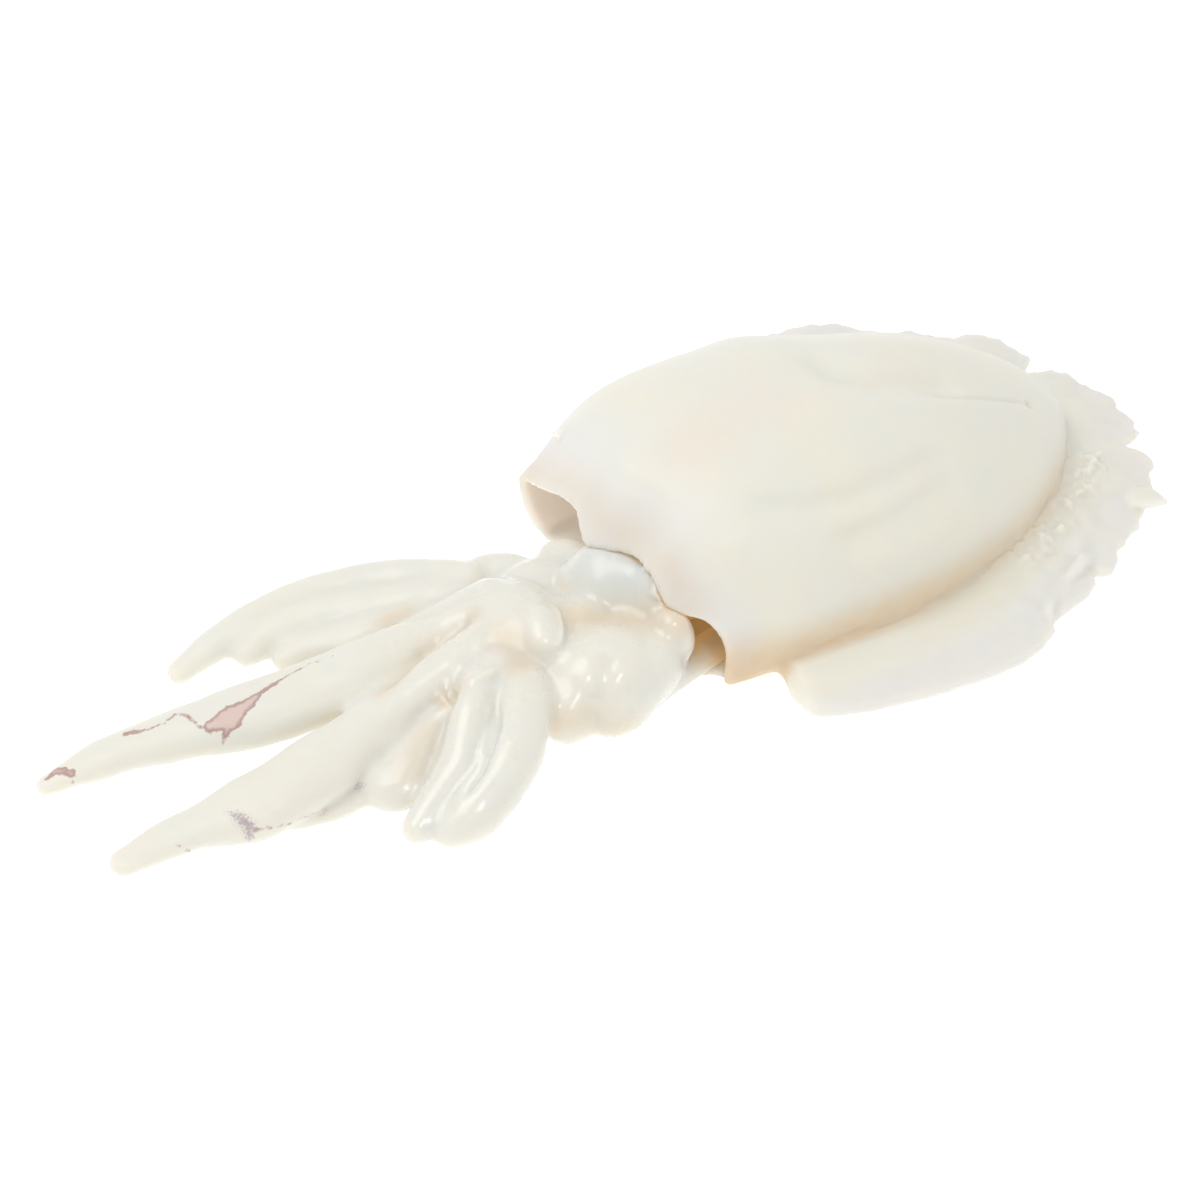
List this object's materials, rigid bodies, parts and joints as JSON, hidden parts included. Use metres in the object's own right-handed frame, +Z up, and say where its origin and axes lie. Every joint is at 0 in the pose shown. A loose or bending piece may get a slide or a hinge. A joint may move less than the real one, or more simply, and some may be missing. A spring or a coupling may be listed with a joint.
{
  "type": "cleaned cuttlefish",
  "caption": "Cleaned, skinned raw cuttlefish lying flat: a hollow mantle pouch with a ragged fin round its base, and the head with its arms tucked back into the pouch's mouth.",
  "frame": {"origin": "on the surface that the cuttlefish lies on, under the middle of its bounding box", "axes": "+X from the arms to the tail, +Z up out of the back, -Y the side that the picture shows"},
  "size_m": [0.2836, 0.1282, 0.045],
  "materials": {
    "mantle_flesh": "moist ivory flesh, soft satin sheen, amber in the creases",
    "head_flesh": "wet translucent flesh, glossy, with a few red and purple skin marks"
  },
  "bodies": {
    "root": {"mantle": "mantle_flesh", "head": "head_flesh"}
  },
  "joints": []
}
